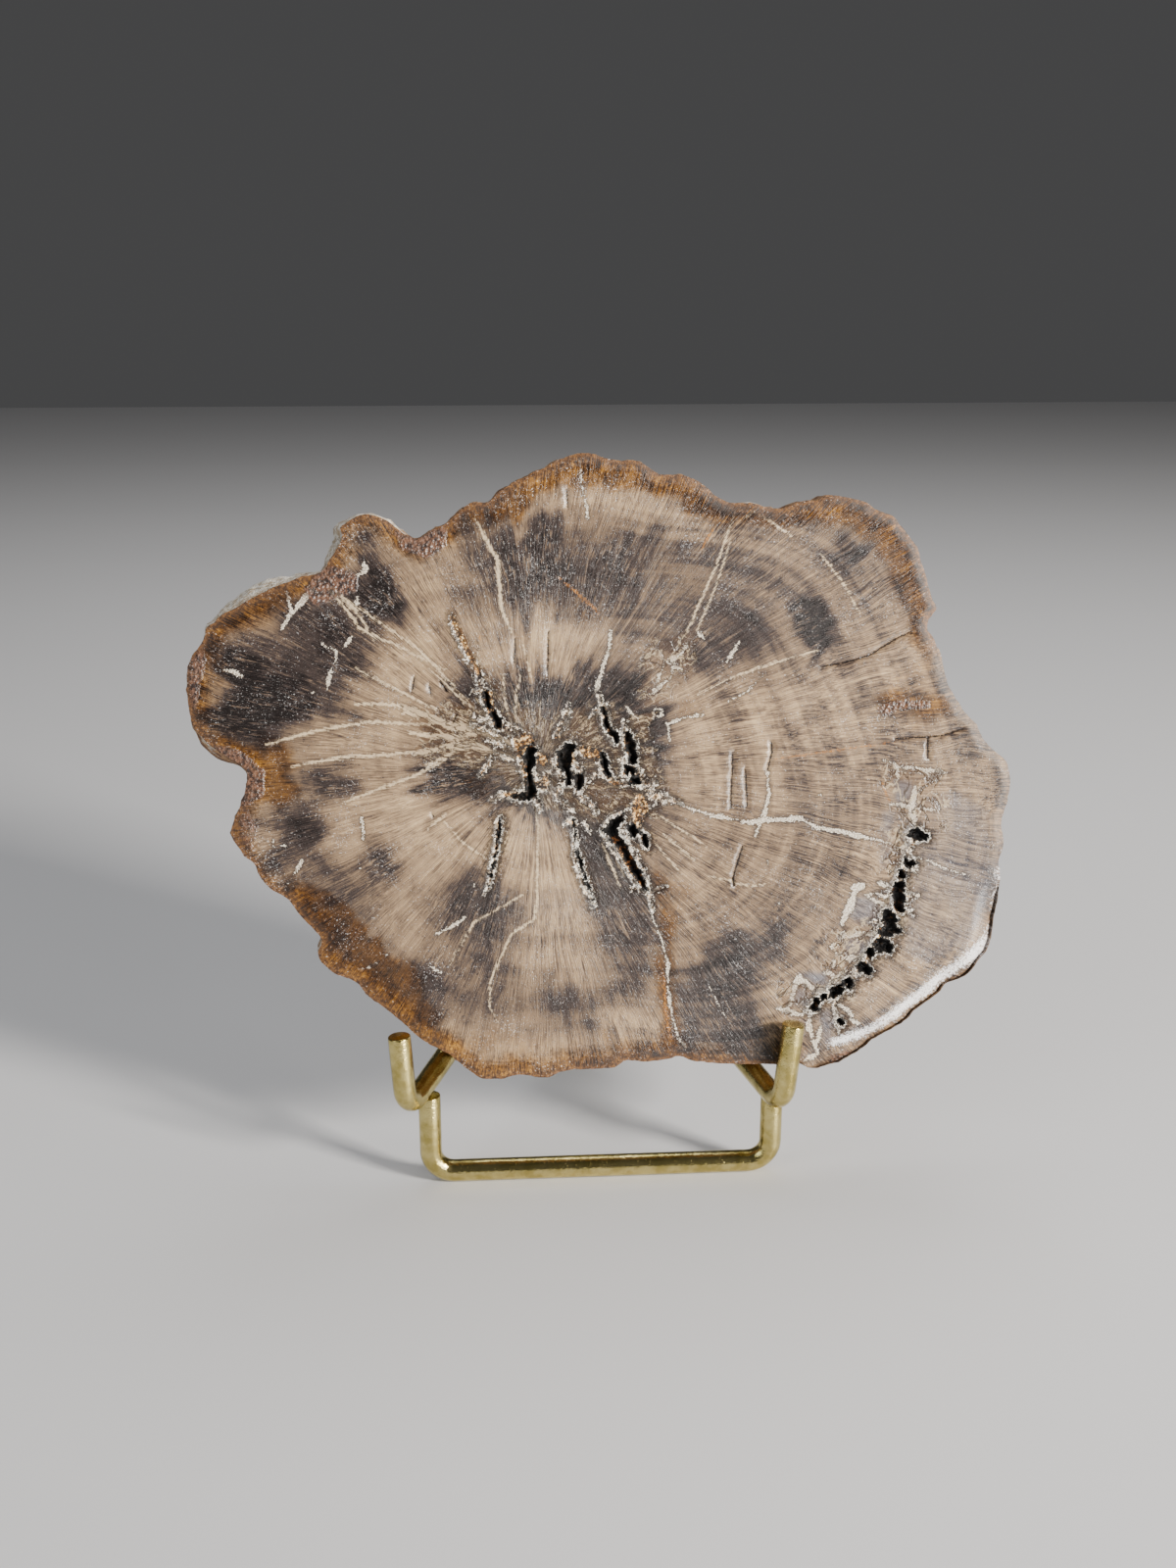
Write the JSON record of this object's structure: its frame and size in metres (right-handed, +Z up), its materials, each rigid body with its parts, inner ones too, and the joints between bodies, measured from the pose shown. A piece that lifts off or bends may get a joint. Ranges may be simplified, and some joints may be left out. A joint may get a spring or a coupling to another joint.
{
  "type": "petrified wood slab on wire easel",
  "caption": "Polished round slice of petrified wood with an irregular bark edge, leaning on a brass-coloured bent-wire easel.",
  "frame": {"origin": "Middle of the whole object's footprint, on the surface that it stands on", "axes": "+X to the right along the slice, +Y from the polished face to the back, +Z up"},
  "size_m": [0.1656, 0.084, 0.1454],
  "materials": {
    "polished_stone": "polished face, rough bark side",
    "easel_brass": "bright plated wire"
  },
  "bodies": {
    "root": {"petrified_wood_slice": "polished_stone", "hook_wire": "easel_brass", "front_foot": "easel_brass", "rear_leg": "easel_brass"}
  },
  "joints": []
}
